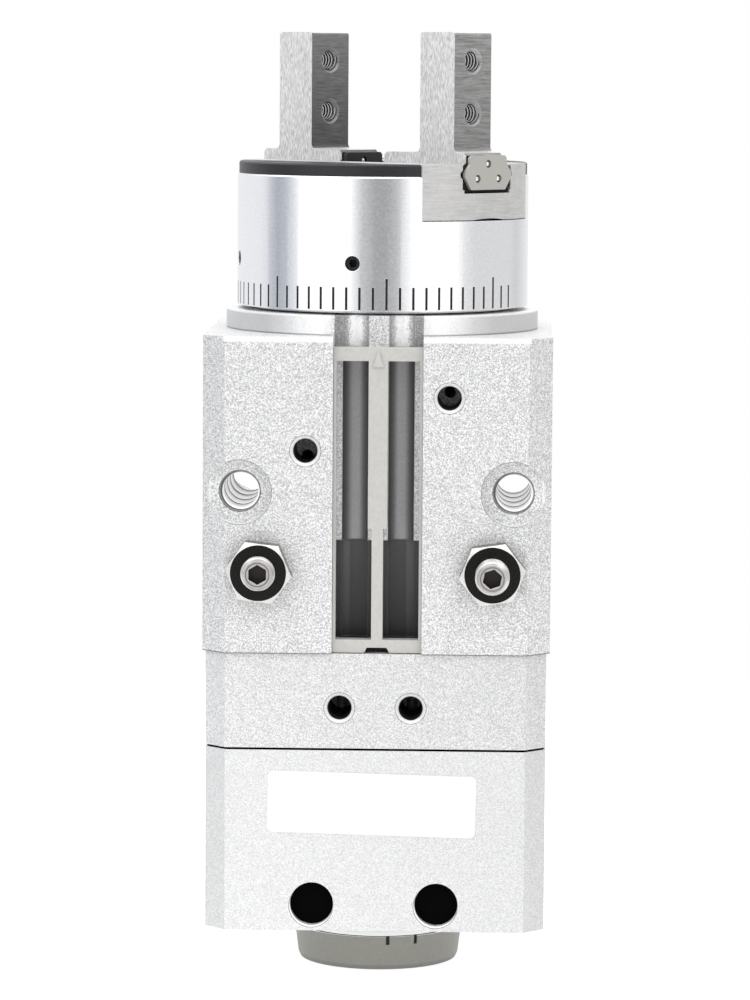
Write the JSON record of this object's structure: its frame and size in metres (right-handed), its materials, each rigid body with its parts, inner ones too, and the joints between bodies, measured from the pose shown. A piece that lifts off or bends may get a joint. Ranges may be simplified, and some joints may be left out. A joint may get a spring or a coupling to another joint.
{
  "type": "pneumatic gripper",
  "caption": "Rotary pneumatic gripper: two parallel fingers on a turning head with an angle scale, a square aluminium body with a switch slot, air ports and a manual knob underneath.",
  "frame": {"origin": "on the head's rotation axis, midway between the two body mounting holes", "axes": "+Z along the rotation axis towards the fingertips, -Y out of the front face with the ports and the switch slot"},
  "size_m": [0.06, 0.0691, 0.1647],
  "materials": {
    "anodised_body": "bead-blasted, clear anodised",
    "anodised_ring": "satin turned, clear anodised",
    "machined_aluminium": "machined",
    "ground_steel": "ground",
    "shaft_steel": "turned and ground",
    "bearing_steel": "polished",
    "screw_steel": "zinc plated",
    "black_screw": "black oxide",
    "nut_steel": "nickel plated",
    "black_plate": "black anodised",
    "stainless_plate": "rolled stainless",
    "black_resin": "moulded",
    "rail_plastic": "moulded, light warm grey",
    "knob_plastic": "moulded, warm grey",
    "black_rubber": "matte",
    "magnet": "sintered",
    "label_film": "printed film"
  },
  "bodies": {
    "housing": {"main_body": "anodised_body", "switch_rail": "rail_plastic", "middle_block": "anodised_body", "chamber_gasket": "black_rubber", "lower_block": "anodised_body", "tie_screws": "black_screw", "hole_plugs": "black_rubber", "name_label": "label_film", "vane_stopper": "machined_aluminium", "rod_cover": "machined_aluminium", "rod_seal": "black_rubber", "shaft_seal": "black_rubber", "head_circlip": "black_screw", "base_circlip": "black_screw", "head_bearing_outer": "bearing_steel", "upper_bearing_outer": "bearing_steel", "lower_bearing_outer": "bearing_steel", "lock_nuts": "nut_steel"},
    "rotor": {"vane_shaft": "shaft_steel", "vane_seal": "black_rubber", "stop_lever": "shaft_steel", "stop_lever_pin": "shaft_steel", "turn_magnet": "magnet", "knob": "knob_plastic", "knob_screw": "screw_steel", "head_body": "machined_aluminium", "scale_ring": "anodised_ring", "ring_screws": "black_screw", "guide_block": "ground_steel", "centre_screw": "screw_steel", "guide_screws": "screw_steel", "cover_screws": "black_screw", "cover_plate_front": "black_plate", "cover_plate_rear": "black_plate", "lever_pins": "shaft_steel", "head_bearing_inner": "bearing_steel", "head_bearing_balls": "bearing_steel", "upper_bearing_inner": "bearing_steel", "upper_bearing_balls": "bearing_steel", "lower_bearing_inner": "bearing_steel", "lower_bearing_balls": "bearing_steel"},
    "piston": {"piston": "machined_aluminium", "piston_seal": "black_rubber", "piston_magnet": "magnet", "piston_rod": "shaft_steel", "bore_seal": "black_rubber"},
    "lever_right": {"lever_right": "shaft_steel"},
    "lever_left": {"lever_left": "shaft_steel"},
    "finger_right": {"finger_right": "ground_steel", "slider_cap_right": "black_resin", "slider_plate_right": "stainless_plate", "guide_balls_right": "bearing_steel"},
    "finger_left": {"finger_left": "ground_steel", "slider_cap_left": "black_resin", "slider_plate_left": "stainless_plate", "guide_balls_left": "bearing_steel"},
    "adjust_screw_left": {"adjust_screw_left": "screw_steel"},
    "adjust_screw_right": {"adjust_screw_right": "screw_steel"}
  },
  "joints": [
    {"name": "head_rotation", "type": "hinge", "parent": "housing", "child": "rotor", "pos_m": [0, 0, 0], "axis": [0, 0, 1], "range_deg": [-47.5, 132.5]},
    {"name": "piston_slide", "type": "slide", "parent": "rotor", "child": "piston", "axis": [0, 0, 1], "range_m": [-0.00219, 0]},
    {"name": "lever_right_pivot", "type": "hinge", "parent": "rotor", "child": "lever_right", "pos_m": [0.00995, -0.00912, 0.04], "axis": [-0.6756, -0.7373, 0], "range_deg": [0, 20.07]},
    {"name": "lever_left_pivot", "type": "hinge", "parent": "rotor", "child": "lever_left", "pos_m": [-0.00995, 0.00912, 0.04], "axis": [0.6756, 0.7373, 0], "range_deg": [0, 20.07]},
    {"name": "finger_right_slide", "type": "slide", "parent": "rotor", "child": "finger_right", "axis": [-0.7373, 0.6756, 0], "range_m": [0, 0.0046]},
    {"name": "finger_left_slide", "type": "slide", "parent": "rotor", "child": "finger_left", "axis": [0.7373, -0.6756, 0], "range_m": [0, 0.0046]},
    {"name": "adjust_screw_left_travel", "type": "slide", "parent": "housing", "child": "adjust_screw_left", "axis": [0, -1, 0], "range_m": [0, 0.004]},
    {"name": "adjust_screw_right_travel", "type": "slide", "parent": "housing", "child": "adjust_screw_right", "axis": [0, -1, 0], "range_m": [0, 0.004]}
  ],
  "couplings": [
    {"joint": "lever_right_pivot", "follows": "piston_slide", "rad_per_m": -159.54},
    {"joint": "lever_left_pivot", "follows": "piston_slide", "rad_per_m": -159.54},
    {"joint": "finger_right_slide", "follows": "piston_slide", "ratio": -2.0952},
    {"joint": "finger_left_slide", "follows": "piston_slide", "ratio": -2.0952}
  ]
}
